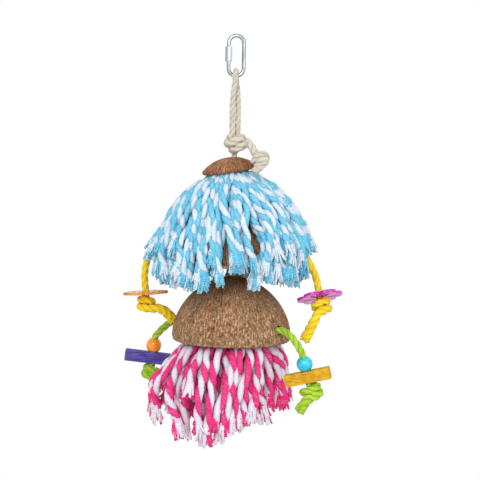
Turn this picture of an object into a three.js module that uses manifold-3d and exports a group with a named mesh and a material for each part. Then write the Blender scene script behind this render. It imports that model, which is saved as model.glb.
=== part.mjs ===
// A hanging bird toy, in millimetres: a screw-lock quick link, a knotted rope, a small coconut cap, a blue
// yarn mop over a half coconut shell, a second shell with a pink yarn mop under it, and four short side cords
// that carry acrylic flowers, beads and wooden blocks.
// The origin is the inside of the link's crown, where the toy hangs on a bar. +Z is up, X right and Y back.
import * as THREE from "three";
import { mergeVertices } from "three/addons/utils/BufferGeometryUtils.js";
import Module from "manifold-3d";

const wasm = await Module();
wasm.setup();

// Clearances
const seatGap = 0.35; // between pieces that rest on each other
const slipGap = 0.15; // round the link's wire in its nut
const threadGap = 0.6; // round a cord in a hole that it is threaded through
const knotGap = 1; // between the turns of a knot
const knotStub = 1.15; // a knot's end past its last turn, in cord widths

// Quick link
const linkWire = 3.2;
const linkLength = 38.2;
const linkWidth = 16.4;
const nutLength = 13;
const nutFlats = 6;
const nutChamfer = 0.6;
const nutTop = -8;
const nutTravel = 5.6;
const nutThread = 2; // how far the upper wire end reaches into the closed nut
const nutOverhang = 0.5; // the opened nut's top above the lower wire end

// Rope
const rope = 5.2;
const ropeSides = 8;
const legSpread = 2.5; // half the distance between the loop's legs, sideways
const legDepth = 1.6; // half the distance between them, front to back
const mainKnotMiddle = -91.5;
const mainKnotCord = 6; // the doubled rope, drawn together in the knot
const mainKnotTurns = 1.2;
const mainKnotLean = -0.7; // sideways for each unit up, so that its turns run aslant
const tailKnotTop = new THREE.Vector3(18.7, -17.4, mainKnotMiddle - 9.1);
const tailKnotAxis = new THREE.Vector3(-0.6, 0.5, 0.62);
const stopperTurns = 1.3;
const sideKnotTurns = 1.4;

// Coconut shells and cap
const shellRadius = 52.5;
const shellDome = 52.5; // from the widest ring up to the crown
const shellSkirt = 4; // from the widest ring down to the rim
const shellRimIn = 0.8; // how far the rim draws in under the widest ring
const shellWall = 3.5;
const shellPower = 1.85; // 2 is an ellipse, less is more pointed
const upperCrown = -141;
const lowerCrown = -209;
const capRadius = 25.4;
const capDome = 35.5; // radius of the cap's outer face
const capWall = 4;
const capTop = -104;
const capTilt = 9; // degrees, to the left

// Side cords
const sideCord = 5.8;
const upperHoleDrop = 44; // crown to hole
const lowerHoleDrop = 43.5;
const holeLead = 2.5; // how far a cross cord runs straight past the wall, inside and out
const besideRope = 6.8; // from the rope's middle to a cross cord's
const upperHoleTurn = -11; // degrees round from +X, and the second hole opposite
const lowerHoleTurn = -36;

// What is threaded on the side cords
const flowerWidth = 40;
const flowerThick = 2.6;
const flowerPetals = 6;
const flowerRib = 0.7;
const beadWidth = 14;
const blockHeight = 10;
const blockDepth = 10;
const leftBlockLength = 50;
const rightBlockLength = 40;
const blockEdge = 0.7;

// Yarn mops
const blueYarn = 7.6;
const pinkYarn = 8.6;
const yarnSides = 5;
const yarnFacet = 21; // length of a facet along a strand
const mopQuarters = ["front", "right", "back", "left"];
const quarterGap = 0.3;
const blueOuterCount = 7; // strands in each quarter
const blueInnerCount = 6;
const pinkOuterCount = 6;
const pinkInnerCount = 4;
const blueHeartRadius = 21;
const pinkHeartRadius = 14;
const pinkHeartTop = -258.5;
const pinkHeartBottom = -270;

// Finishes
const finish = (color, roughness, metalness) =>
  new THREE.MeshStandardMaterial({ color, roughness, metalness });
const zincSteel = finish(0xc3c7ca, 0.28, 1);
const naturalRope = finish(0xd2c7b4, 0.95, 0);
const coconut = finish(0x7b5c45, 0.85, 0);
const capCoconut = finish(0x9b5b36, 0.85, 0);
const blueCotton = finish(0x7fcdea, 0.95, 0);
const pinkCotton = finish(0xea4f92, 0.95, 0);
const yellowCord = finish(0xf0c114, 0.9, 0);
const greenCord = finish(0x9fca33, 0.9, 0);
const orangeAcrylic = finish(0xff9d55, 0.15, 0);
const magentaAcrylic = finish(0xd43cbd, 0.15, 0);
const orangeBead = finish(0xf5812f, 0.2, 0);
const blueBead = finish(0x14b2d8, 0.2, 0);
const purpleWood = finish(0x4f4198, 0.7, 0);
const ochreWood = finish(0xdc9d12, 0.7, 0);

const toy = new THREE.Group();
const point = (x, y, z) => new THREE.Vector3(x, y, z);
const radians = (degrees) => THREE.MathUtils.degToRad(degrees);

// Solids: closed meshes that can be joined and cut
function solidOf(geometry) {
  const bare = geometry.clone();
  bare.deleteAttribute("normal");
  bare.deleteAttribute("uv");
  const merged = mergeVertices(bare, 1e-4);
  const vertProperties = merged.attributes.position.array;
  const triVerts = new Uint32Array(merged.index.array);
  return new wasm.Manifold(new wasm.Mesh({ numProp: 3, vertProperties, triVerts }));
}

function geometryOf(solid) {
  const mesh = solid.getMesh();
  const positions = new THREE.BufferAttribute(new Float32Array(mesh.vertProperties), 3);
  const geometry = new THREE.BufferGeometry().setAttribute("position", positions);
  geometry.setIndex(new THREE.BufferAttribute(mesh.triVerts, 1));
  return geometry;
}

function add(group, name, geometry, material) {
  const mesh = new THREE.Mesh(geometry, material);
  mesh.name = name;
  group.add(mesh);
  return mesh;
}

// A profile of [radius, height] pairs turned about Z, running up on the outside
function turned(profile, segments) {
  const outline = profile.map(([radius, height]) => new THREE.Vector2(radius, height));
  return new THREE.LatheGeometry(outline, segments).rotateX(Math.PI / 2);
}

// A round bar along Z from one height to another
function bar(radius, low, high, segments) {
  const geometry = new THREE.CylinderGeometry(radius, radius, high - low, segments);
  return geometry.rotateX(Math.PI / 2).translate(0, 0, (low + high) / 2);
}

// A bore's corner radius, so that its flats clear a round bar of the given radius
const boreRadius = (radius, segments) => radius / Math.cos(Math.PI / segments);

function swept(curve, diameter, sides, steps) {
  const corners = [];
  for (let side = 0; side < sides; side++) {
    const angle = (2 * Math.PI * side) / sides;
    corners.push(new THREE.Vector2(Math.cos(angle), Math.sin(angle)).multiplyScalar(diameter / 2));
  }
  const section = new THREE.Shape(corners);
  return new THREE.ExtrudeGeometry(section, { extrudePath: curve, steps, bevelEnabled: false });
}

const through = (points) => new THREE.CatmullRomCurve3(points);
const cordSteps = (curve, diameter) => Math.max(2, Math.ceil(curve.getLength() / (1.6 * diameter)));

function cordTube(points, diameter) {
  const curve = through(points);
  return swept(curve, diameter, ropeSides, cordSteps(curve, diameter));
}

// The least clear distance between two turns of a wound cord, measured on points of its middle line
function leastSelfGap(curve, cord) {
  const samples = 240;
  const points = curve.getSpacedPoints(samples);
  const skip = Math.ceil((1.7 * cord * samples) / curve.getLength());
  let least = Infinity;
  for (let i = 0; i <= samples; i++) {
    for (let j = i + skip; j <= samples; j++) {
      least = Math.min(least, points[i].distanceTo(points[j]) - cord);
    }
  }
  return least;
}

// A stopper knot: the cord runs down its own middle, turns out and winds back up round itself. It hangs
// under its seat along the axis. The winding ends at endAngle, seen from above, and leaves straight there.
// hand is 1 for anticlockwise.
function knotPoints(seat, axis, cord, turns, hand, endAngle) {
  const lay = cord + knotGap;
  const top = -seatGap;
  const bottom = top - cord / 2 - lay * turns;
  const startAngle = endAngle - hand * turns * 2 * Math.PI;
  const wound = (angle, radius, height) => point(radius * Math.cos(angle), radius * Math.sin(angle), height);
  const points = [point(0, 0, top), point(0, 0, (top + bottom) / 2), point(0, 0, bottom + 0.5 * lay)];
  points.push(wound(startAngle, 0.32 * lay, bottom + 0.05 * lay));
  points.push(wound(startAngle + hand * radians(22), 0.78 * lay, bottom - 0.04 * lay));
  const firstTurn = radians(60);
  const arc = 2 * Math.PI * turns - firstTurn;
  const stops = Math.round(arc / radians(36));
  for (let stop = 0; stop <= stops; stop++) {
    const swing = firstTurn + (arc * stop) / stops;
    points.push(wound(startAngle + hand * swing, lay, bottom + (lay * swing) / (2 * Math.PI)));
  }
  const leave = point(-Math.sin(endAngle), Math.cos(endAngle), 0).multiplyScalar(hand * knotStub * cord);
  points.push(points[points.length - 1].clone().add(leave));
  const side = point(1, 0, 0).cross(axis).cross(axis).negate().normalize();
  const frame = new THREE.Matrix4().makeBasis(side, axis.clone().cross(side), axis);
  return points.map((p) => p.applyMatrix4(frame).add(seat));
}

const knotHeight = (cord, turns) => seatGap + cord + (cord + knotGap) * turns;

function knotTube(name, points, cord, sides) {
  const curve = through(points);
  const gap = leastSelfGap(curve, cord);
  console.log(name + ": least gap between its turns " + gap.toFixed(2) + " mm");
  return swept(curve, cord, sides, Math.ceil(curve.getLength() / (0.72 * cord)));
}

// How high a wound cord reaches over a round bar that stands on it at (x, y), or how low with side -1
function reachOver(curve, cord, x, y, barRadius, side) {
  let reach = -Infinity;
  for (const p of curve.getSpacedPoints(400)) {
    const away = Math.max(0, Math.hypot(p.x - x, p.y - y) - barRadius);
    if (away < cord / 2) reach = Math.max(reach, side * p.z + Math.sqrt(cord * cord / 4 - away * away));
  }
  return side * (reach + seatGap);
}

// Quick link: an oval of wire, open on its left leg, and the sleeve nut that closes it
const bow = (linkWidth - linkWire) / 2;
const upperBow = linkWire / 2 - bow; // height of the upper bow's centre
const lowerBow = linkWire - linkLength + linkWire / 2 + bow;
const upperWireEnd = nutTop - nutThread;
const lowerWireEnd = nutTop - nutTravel - nutOverhang;

class LinkWire extends THREE.Curve {
  getPoint(share, target = new THREE.Vector3()) {
    const leg = upperBow - lowerBow;
    const half = Math.PI * bow;
    const stub = upperBow - upperWireEnd;
    let run = share * (stub + half + leg + half + lowerWireEnd - lowerBow);
    if (run <= stub) return target.set(-bow, 0, upperWireEnd + run);
    run -= stub;
    if (run <= half) return target.set(-bow * Math.cos(run / bow), 0, upperBow + bow * Math.sin(run / bow));
    run -= half;
    if (run <= leg) return target.set(bow, 0, upperBow - run);
    run -= leg;
    if (run <= half) return target.set(bow * Math.cos(run / bow), 0, lowerBow - bow * Math.sin(run / bow));
    return target.set(-bow, 0, lowerBow + run - half);
  }
}

const link = new THREE.Group();
toy.add(link);
add(link, "quick_link_body", swept(new LinkWire(), linkWire, 8, 36), zincSteel);

function sleeveNut() {
  const corner = nutFlats / Math.sqrt(3);
  const hexagon = solidOf(bar(corner, 0, nutLength, 6));
  const flat = nutFlats / 2;
  const chamfered = turned(
    [
      [0, 0],
      [flat, 0],
      [flat + nutChamfer, nutChamfer],
      [flat + nutChamfer, nutLength - nutChamfer],
      [flat, nutLength],
      [0, nutLength],
    ],
    24,
  );
  const bore = bar(boreRadius(linkWire / 2 + slipGap, 16), -1, nutLength + 1, 16);
  return geometryOf(hexagon.intersect(solidOf(chamfered)).subtract(solidOf(bore)));
}
const nut = add(link, "quick_link_nut", sleeveNut(), zincSteel);
nut.position.set(-bow, 0, nutTop - nutLength);

// The radius of a shell's dome at a share of its height, and equally its height at a share of its radius
const domeShare = (share) => Math.pow(1 - Math.pow(share, shellPower), 1 / shellPower);

// Rope: the main knot, a loop from it over the link's lower bow, and the knot's tail
const bowBottom = lowerBow - bow;
const loopRadius = linkWire / 2 + seatGap + rope / 2;
const vertical = point(0, 0, 1);
const frontToRight = -Math.PI / 2;
const mainKnotAxis = point(mainKnotLean, 0, 1).normalize();
const mainKnotHeight = knotHeight(mainKnotCord, mainKnotTurns);
const mainKnot = knotPoints(
  point(0, 0, mainKnotMiddle).addScaledVector(mainKnotAxis, mainKnotHeight / 2),
  mainKnotAxis,
  mainKnotCord,
  mainKnotTurns,
  -1,
  radians(10),
);
const mainKnotCurve = through(mainKnot);
const leftLegEnd = reachOver(mainKnotCurve, mainKnotCord, -legSpread, -legDepth, rope / 2, 1);
const rightLegEnd = reachOver(mainKnotCurve, mainKnotCord, legSpread, legDepth, rope / 2, 1);
const neckTop = reachOver(mainKnotCurve, mainKnotCord, 0, 0, rope / 2, -1);
const legTop = bowBottom - 3;
const down = (share, end) => legTop + (end - legTop) * share;
const loopRoute = [
  point(-legSpread, -legDepth, leftLegEnd),
  point(-legSpread, -legDepth, down(0.8, leftLegEnd)),
  point(-legSpread, -legDepth - 0.6, down(0.53, leftLegEnd)),
  point(-1.6, -3.4, down(0.22, leftLegEnd)),
  point(-0.4, -loopRadius, legTop),
  point(0, -loopRadius * Math.SQRT1_2, bowBottom + loopRadius * Math.SQRT1_2),
  point(0, 0, bowBottom + loopRadius),
  point(0, loopRadius * Math.SQRT1_2, bowBottom + loopRadius * Math.SQRT1_2),
  point(0.4, loopRadius, legTop),
  point(1.6, 3.4, down(0.22, rightLegEnd)),
  point(legSpread, legDepth + 0.6, down(0.53, rightLegEnd)),
  point(legSpread, legDepth, down(0.8, rightLegEnd)),
  point(legSpread, legDepth, rightLegEnd),
];
const hanger = new THREE.Group();
toy.add(hanger);
const loopCurve = through(loopRoute);
add(hanger, "hanging_loop", swept(loopCurve, rope, ropeSides, 28), naturalRope);
add(hanger, "main_knot", knotTube("main_knot", mainKnot, mainKnotCord, 7), naturalRope);

const tailAxis = tailKnotAxis.clone().normalize();
const [lastTurn, stubEnd] = mainKnot.slice(-2);
const tailRoute = [
  stubEnd.clone().add(stubEnd.clone().sub(lastTurn).setLength(2 * seatGap)),
  stubEnd.clone().add(stubEnd.clone().sub(lastTurn).setLength(3)),
  point(9.5, -14, mainKnotMiddle + 2.5),
  tailKnotTop.clone().addScaledVector(tailAxis, 5),
  tailKnotTop,
];
add(hanger, "knot_tail", cordTube(tailRoute, rope), naturalRope);
const tailKnot = knotPoints(tailKnotTop, tailAxis, rope, sideKnotTurns, 1, radians(-70));
add(hanger, "tail_knot", knotTube("tail_knot", tailKnot, rope, 6), naturalRope);

// The rope below the main knot, with a stopper knot under each shell and one under the pink mop
function stopper(name, top) {
  const points = knotPoints(point(0, 0, top), vertical, rope, stopperTurns, 1, frontToRight);
  add(hanger, name, knotTube(name, points, rope, 6), naturalRope);
}

function ropeRun(name, high, low) {
  add(hanger, name, bar(rope / 2, low, high, 2 * ropeSides), naturalRope);
}
const knotReach = Math.hypot(rope + knotGap, knotStub * rope) + rope / 2;
const domeFall = (shellDome - shellWall) * (1 - domeShare(knotReach / (shellRadius - shellWall)));
const upperStop = upperCrown - shellWall - domeFall;
const lowerStop = lowerCrown - shellWall - domeFall;
const endStop = pinkHeartBottom - seatGap;
const belowStopper = knotHeight(rope, stopperTurns);
ropeRun("rope_neck", neckTop, upperStop);
stopper("upper_stopper_knot", upperStop);
ropeRun("rope_middle", upperStop - belowStopper, lowerStop);
stopper("lower_stopper_knot", lowerStop);
ropeRun("rope_lower", lowerStop - belowStopper, endStop);
stopper("end_knot", endStop);

// Coconut shells: half shells, dome up, bored at the crown for the rope and at both sides for a cord
const ropeHole = rope / 2 + threadGap;
const cordHole = sideCord / 2 + threadGap;

function shellSolid(holeDrop) {
  const outer = [];
  const inner = [];
  const bands = 7;
  const innerRadius = shellRadius - shellWall;
  for (let band = 0; band <= bands; band++) {
    const angle = (Math.PI / 2) * (band / bands);
    const share = Math.pow(Math.sin(angle), 1.05);
    outer.push([shellRadius * domeShare(share), -shellDome + shellDome * share]);
    inner.push([innerRadius * domeShare(share), -shellDome + (shellDome - shellWall) * share]);
  }
  const rim = -shellDome - shellSkirt;
  const profile = [
    [0, -shellWall],
    ...inner.slice(0, -1).reverse(),
    [innerRadius - shellRimIn, rim + 0.8],
    [innerRadius - shellRimIn + 0.8, rim],
    [shellRadius - shellRimIn - 1, rim],
    [shellRadius - shellRimIn, rim + 1],
    ...outer.slice(0, -1),
    [0, 0],
  ];
  const crownBore = bar(ropeHole, -shellDome, shellWall, 12);
  const sideBore = new THREE.CylinderGeometry(cordHole, cordHole, 3 * shellRadius, 10);
  sideBore.rotateZ(Math.PI / 2).translate(0, 0, -holeDrop);
  return solidOf(turned(profile, 28)).subtract(solidOf(crownBore)).subtract(solidOf(sideBore));
}

const canopy = new THREE.Group();
const lower = new THREE.Group();
toy.add(canopy, lower);
const upperShell = add(canopy, "upper_shell", geometryOf(shellSolid(upperHoleDrop)), coconut);
upperShell.position.z = upperCrown;
upperShell.rotation.z = radians(upperHoleTurn);
const lowerShell = add(lower, "lower_shell", geometryOf(shellSolid(lowerHoleDrop)), coconut);
lowerShell.position.z = lowerCrown;
lowerShell.rotation.z = radians(lowerHoleTurn);

// Cap: a dished disc of shell that leans to the left on the round heart of the mop
const capCentre = capTop - capDome;
const capSeat = capDome - capWall;

function capGeometry() {
  const edge = Math.asin(capRadius / capDome);
  const bands = 4;
  const face = (radius, from, to) => {
    const pairs = [];
    for (let band = 0; band <= bands; band++) {
      const angle = from + ((to - from) * band) / bands;
      pairs.push([radius * Math.sin(angle), radius * Math.cos(angle)]);
    }
    return pairs;
  };
  const under = face(capSeat, 0, edge - 0.02);
  const over = face(capDome, edge - 0.03, 0);
  const rim = [[(capDome - capWall / 2) * Math.sin(edge), (capDome - capWall / 2) * Math.cos(edge)]];
  const dish = turned([...under, ...rim, ...over], 26).rotateY(-radians(capTilt));
  const hole = bar(ropeHole + 0.4, 0, 2 * capDome, 14);
  return geometryOf(solidOf(dish).subtract(solidOf(hole)));
}
const cap = add(canopy, "coconut_cap", capGeometry(), capCoconut);
cap.position.z = capCentre;

// Yarn mops: strands that leave a bound heart, in two layers, cut into four quarters
const wave = (number) => Math.sin(number * 12.9898 + 4.1) * Math.cos(number * 7.233 + 1.7);

function sector(quarter) {
  const reach = 2 * shellRadius;
  const from = radians(90 * quarter - 135);
  const corners = [new THREE.Vector2(0, 0)];
  for (let step = 0; step <= 4; step++) {
    const angle = from + (step * Math.PI) / 8;
    corners.push(new THREE.Vector2(Math.cos(angle), Math.sin(angle)).multiplyScalar(reach));
  }
  const middle = from + Math.PI / 4;
  const height = 400;
  const wedge = new THREE.ExtrudeGeometry(new THREE.Shape(corners), { depth: height, bevelEnabled: false });
  const inset = quarterGap / 2 / Math.sin(Math.PI / 4);
  return solidOf(wedge.translate(inset * Math.cos(middle), inset * Math.sin(middle), -height));
}

// A strand's middle line from [radius, height] pairs at one angle, with a sway that grows towards its end
function strandCurve(pairs, angle, sway, lean) {
  const points = pairs.map(([radius, height], index) => {
    const swung = angle + (sway * index) / pairs.length;
    return point(radius * Math.cos(swung) + lean(height), radius * Math.sin(swung), height);
  });
  return through(points);
}

function quarterMop(quarter, heart, strands, yarn) {
  let mop = heart;
  for (const curve of strands) {
    const steps = Math.ceil(curve.getLength() / yarnFacet);
    mop = mop.add(solidOf(swept(curve, yarn, yarnSides, steps)));
  }
  return geometryOf(mop.intersect(sector(quarter)));
}

// The angles of the strands of one layer in a quarter
function fan(quarter, count) {
  const angles = [];
  for (let strand = 0; strand < count; strand++) {
    angles.push(radians(90 * quarter - 135 + (90 * (strand + 0.5)) / count));
  }
  return angles;
}

const turnBetween = (a, b) => Math.abs(Math.atan2(Math.sin(a - b), Math.cos(a - b)));
const upright = () => 0;

// Blue mop: its heart sits on the upper crown and carries the cap. Over a yellow cord the strands stop short.
const domeRing = upperCrown - shellDome;
const strandOff = blueYarn / 2 + 3 * seatGap;

function onDome(height) {
  const share = (height - domeRing) / (shellDome + strandOff);
  return (shellRadius + strandOff) * domeShare(Math.max(0, share));
}

function blueStrand(angle, outer, number) {
  const overCord = Math.min(
    turnBetween(angle, radians(upperHoleTurn)),
    turnBetween(angle, radians(upperHoleTurn + 180)),
  );
  const short = overCord < radians(9);
  const front = Math.max(0, Math.cos(angle - radians(-100)));
  const left = Math.max(0, -Math.cos(angle));
  const fringe = domeRing - 20 - 8 * front * front + 4.5 * wave(number);
  const pairs = outer
    ? [
        [6, capCentre + 26],
        [16, capCentre + 22],
        [22, capCentre + 16],
        [26, capCentre + 13.2],
        [33, capCentre + 10],
        [41, upperCrown + 4],
        [50, upperCrown - 5.5],
        [56.5, upperCrown - 16],
        [62, upperCrown - 26.5],
        [66 + 4 * left, upperCrown - 37],
      ]
    : [
        [12, upperCrown + strandOff + 1],
        [25, domeRing + 52],
        [onDome(domeRing + 44), domeRing + 44],
        [onDome(domeRing + 34), domeRing + 34],
        [onDome(domeRing + 23), domeRing + 23],
        [onDome(domeRing + 16.5), domeRing + 16.5],
      ];
  if (!short) {
    const hang = outer ? 66.5 + 8 * left : onDome(domeRing) + 0.4;
    pairs.push([hang, domeRing + 6.5], [hang + (outer ? 2 * wave(number + 40) : 0), fringe]);
  } else if (outer) {
    pairs.push([68 + 7 * left, upperCrown - 41.5]);
  }
  const sway = radians(short ? 0 : 2.2 * wave(number + 80));
  return strandCurve(pairs, angle, sway, upright);
}

function blueHeart() {
  const top = capSeat - seatGap;
  const bands = 5;
  const waist = Math.acos(7 / top);
  const profile = [[0, upperCrown + seatGap]];
  profile.push([10, upperCrown + seatGap], [blueHeartRadius, upperCrown - 4.5]);
  for (let band = 0; band <= bands; band++) {
    const angle = waist * (1 - band / bands);
    profile.push([top * Math.sin(angle), capCentre + top * Math.cos(angle)]);
  }
  const bore = bar(ropeHole, upperCrown - 20, capTop + 20, 12);
  return solidOf(turned(profile, 24)).subtract(solidOf(bore));
}

const blueHeartSolid = blueHeart();
mopQuarters.forEach((side, quarter) => {
  const first = 10 * quarter;
  const outer = fan(quarter, blueOuterCount).map((angle, n) => blueStrand(angle, true, first + n));
  const inner = fan(quarter, blueInnerCount).map((angle, n) => blueStrand(angle, false, first + n + 5));
  const geometry = quarterMop(quarter, blueHeartSolid, [...outer, ...inner], blueYarn);
  add(canopy, "blue_mop_" + side, geometry, blueCotton);
});

// Pink mop: hung inside the lower shell, flared to the left and longest at the front left
const rimHeight = lowerCrown - shellDome - shellSkirt;
const pinkLean = (height) => -7 * Math.max(0, (rimHeight - 5 - height) / 80);

function pinkStrand(angle, outer, number) {
  const flare = 23 * Math.pow(Math.max(0, Math.cos(angle - radians(203))), 1.7);
  const tuck = 6 * Math.exp(-Math.pow(turnBetween(angle, radians(lowerHoleTurn)) / radians(24), 2));
  const drop = 58 + 32 * Math.pow(Math.max(0, Math.cos(angle - radians(240))), 2) + 5 * wave(number);
  const end = rimHeight - drop;
  const hang = 45.5 - tuck;
  const pairs = outer
    ? [
        [8, pinkHeartBottom + 6],
        [24, rimHeight - 0.5],
        [37, rimHeight - 3],
        [44.5 - 0.6 * tuck, rimHeight - 10.5],
        [hang + 0.45 * flare, rimHeight - 22],
        [hang + 0.95 * flare, rimHeight - 40],
        [hang + 0.85 * flare, end],
      ]
    : [
        [7, pinkHeartBottom + 6],
        [19, pinkHeartBottom - 0.5],
        [27, rimHeight - 19],
        [30, rimHeight - 36],
        [32, end + 6],
      ];
  return strandCurve(pairs, angle, radians(4 * wave(number + 60)), pinkLean);
}

function pinkHeart() {
  const round = 3;
  const profile = [
    [0, pinkHeartBottom],
    [pinkHeartRadius - round, pinkHeartBottom],
    [pinkHeartRadius, pinkHeartBottom + round],
    [pinkHeartRadius, pinkHeartTop - round],
    [pinkHeartRadius - round, pinkHeartTop],
    [0, pinkHeartTop],
  ];
  const bore = bar(ropeHole, pinkHeartBottom - 5, pinkHeartTop + 5, 12);
  return solidOf(turned(profile, 24)).subtract(solidOf(bore));
}

const pinkHeartSolid = pinkHeart();
mopQuarters.forEach((side, quarter) => {
  const first = 10 * quarter;
  const outer = fan(quarter, pinkOuterCount).map((angle, n) => pinkStrand(angle, true, first + n + 3));
  const inner = fan(quarter, pinkInnerCount).map((angle, n) => pinkStrand(angle, false, first + n + 7));
  const geometry = quarterMop(quarter, pinkHeartSolid, [...outer, ...inner], pinkYarn);
  add(lower, "pink_mop_" + side, geometry, pinkCotton);
});

// Side cords: a cross cord through each shell, and an arm that swings at the end of each half
function arm(group, name, pivot, route, seat, axis, knot, tail, material) {
  const start = through([pivot, ...route, seat]);
  const length = solidOf(swept(start, sideCord, ropeSides, cordSteps(start, sideCord)));
  const ball = new THREE.SphereGeometry(sideCord / 2, ropeSides, 6).translate(pivot.x, pivot.y, pivot.z);
  add(group, name.replace("SIDE", "cord"), geometryOf(length.add(solidOf(ball))), material);
  const points = knotPoints(seat, axis, sideCord, sideKnotTurns, knot.hand, radians(knot.endAngle));
  const knotName = name.replace("SIDE", "knot");
  add(group, knotName, knotTube(knotName, [...points, ...tail], sideCord, 6), material);
}

// The end of a cross cord, one ball's clearance from the pivot of its arm
function crossEnd(pivot, inward) {
  const direction = inward.clone().sub(pivot).normalize();
  return pivot.clone().addScaledVector(direction, sideCord / 2 + seatGap);
}

// A point of a cross cord, at an angle round the shell and a distance from its middle
const inHole = (turn, reach, height) =>
  point(reach * Math.cos(radians(turn)), reach * Math.sin(radians(turn)), height);

const along = (seat, axis, height) => seat.clone().addScaledVector(axis, height);
const onAxis = (seat, axis, heights) => heights.map((height) => along(seat, axis, height));
const lean = (x, y) => point(x, y, 1).normalize();

// What stands on a knot: turned to its axis, with its own bottom face at its group's origin
function onKnot(group, seat, axis, height) {
  const holder = new THREE.Group();
  holder.position.copy(along(seat, axis, height));
  holder.quaternion.setFromUnitVectors(vertical, axis);
  group.add(holder);
  return holder;
}

// Yellow arms and their flowers, placed by how far they hang under their holes
const upperHoleHeight = upperCrown - upperHoleDrop;
const underUpper = (x, y, drop) => point(x, y, upperHoleHeight - drop);
const yellowLeftPivot = underUpper(-69.6, 11, 3.5);
const yellowLeftSeat = underUpper(-76.7, 10.9, 43.5);
const yellowLeftAxis = lean(-0.07, 0.07);
const yellowRightPivot = underUpper(62, -11.5, 3);
const yellowRightSeat = underUpper(77.1, -15.6, 41.1);
const yellowRightAxis = lean(-0.2, 0.37);
const yellowLeftMouth = inHole(upperHoleTurn + 180, shellRadius + holeLead, upperHoleHeight);
const yellowRightMouth = inHole(upperHoleTurn, shellRadius + holeLead, upperHoleHeight);
const yellowCrossRoute = [
  crossEnd(yellowLeftPivot, yellowLeftMouth),
  yellowLeftMouth,
  inHole(upperHoleTurn + 180, shellRadius - shellWall - holeLead, upperHoleHeight),
  point(1.3, besideRope, upperHoleHeight),
  inHole(upperHoleTurn, shellRadius - shellWall - holeLead, upperHoleHeight),
  yellowRightMouth,
  crossEnd(yellowRightPivot, yellowRightMouth),
];
add(canopy, "yellow_cross_cord", cordTube(yellowCrossRoute, sideCord), yellowCord);
arm(
  canopy,
  "yellow_SIDE_left",
  yellowLeftPivot,
  [underUpper(-75.6, 11.2, 12), ...onAxis(yellowLeftSeat, yellowLeftAxis, [18, 7])],
  yellowLeftSeat,
  yellowLeftAxis,
  { hand: 1, endAngle: -75 },
  [underUpper(-62.8, 8.2, 48.6), underUpper(-58.4, 10.8, 55.6), underUpper(-54, 14, 63.4)],
  yellowCord,
);
arm(
  canopy,
  "yellow_SIDE_right",
  yellowRightPivot,
  [underUpper(69.2, -11.2, 14), ...onAxis(yellowRightSeat, yellowRightAxis, [18, 7])],
  yellowRightSeat,
  yellowRightAxis,
  { hand: -1, endAngle: -95 },
  [
    underUpper(65, -20.4, 49.2),
    underUpper(64.6, -20, 58.5),
    underUpper(63.8, -19.2, 68),
    underUpper(61.6, -18, 80.5),
  ],
  yellowCord,
);

// A flower: a plate with round petals, a hole for the cord and a rib along each petal on both faces
function flowerGeometry() {
  const radius = flowerWidth / 2;
  const corners = [];
  const stops = 8 * flowerPetals;
  for (let stop = 0; stop < stops; stop++) {
    const angle = (2 * Math.PI * stop) / stops;
    const petal = Math.abs(Math.cos((flowerPetals * angle) / 2));
    const reach = radius * (0.74 + 0.26 * Math.sqrt(petal));
    corners.push(new THREE.Vector2(reach * Math.cos(angle), reach * Math.sin(angle)));
  }
  const edge = 0.5;
  const plate = new THREE.ExtrudeGeometry(new THREE.Shape(corners), {
    depth: flowerThick - 2 * edge,
    bevelThickness: edge,
    bevelSize: edge,
    bevelOffset: -edge,
    bevelSegments: 1,
  });
  let flower = solidOf(plate.translate(0, 0, edge + flowerRib));
  for (let petal = 0; petal < flowerPetals; petal++) {
    const rib = new THREE.CylinderGeometry(1.2, 0.6, 0.62 * radius, 4);
    rib.rotateZ(-Math.PI / 2).translate(0.62 * radius, 0, 0);
    rib.scale(1, 1, (flowerThick / 2 + flowerRib) / 1.2).translate(0, 0, flowerThick / 2 + flowerRib);
    flower = flower.add(solidOf(rib.rotateZ((2 * Math.PI * petal) / flowerPetals)));
  }
  const hole = bar(cordHole, -1, flowerThick + 2 * flowerRib + 1, 14);
  return geometryOf(flower.subtract(solidOf(hole)));
}
add(onKnot(canopy, yellowLeftSeat, yellowLeftAxis, 0), "flower_left", flowerGeometry(), orangeAcrylic);
add(onKnot(canopy, yellowRightSeat, yellowRightAxis, 0), "flower_right", flowerGeometry(), magentaAcrylic);

// Green arms, their beads and their blocks
const lowerHoleHeight = lowerCrown - lowerHoleDrop;
const underLower = (x, y, drop) => point(x, y, lowerHoleHeight - drop);
const greenLeftPivot = underLower(-45.8, 33.2, 0);
const greenLeftSeat = underLower(-72.3, 45, 42.4);
const greenLeftAxis = lean(0.105, 0);
const greenRightPivot = underLower(45.8, -33.2, 0);
const greenRightSeat = underLower(67.7, -44, 42.5);
const greenRightAxis = lean(-0.25, 0);
const greenLeftBend = inHole(lowerHoleTurn + 180, shellRadius - shellWall - holeLead, lowerHoleHeight);
const greenRightBend = inHole(lowerHoleTurn, shellRadius - shellWall - holeLead, lowerHoleHeight);
const greenCrossRoute = [
  crossEnd(greenLeftPivot, greenLeftBend),
  greenLeftBend,
  inHole(lowerHoleTurn + 90, besideRope, lowerHoleHeight),
  greenRightBend,
  crossEnd(greenRightPivot, greenRightBend),
];
add(lower, "green_cross_cord", cordTube(greenCrossRoute, sideCord), greenCord);
arm(
  lower,
  "green_SIDE_left",
  greenLeftPivot,
  [
    underLower(-54.5, 39.5, 3.5),
    underLower(-63.8, 43.5, 11.5),
    ...onAxis(greenLeftSeat, greenLeftAxis, [23, 11]),
  ],
  greenLeftSeat,
  greenLeftAxis,
  { hand: 1, endAngle: -40 },
  [underLower(-58.8, 49.6, 49.5), underLower(-56.6, 51, 55.5)],
  greenCord,
);
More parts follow.
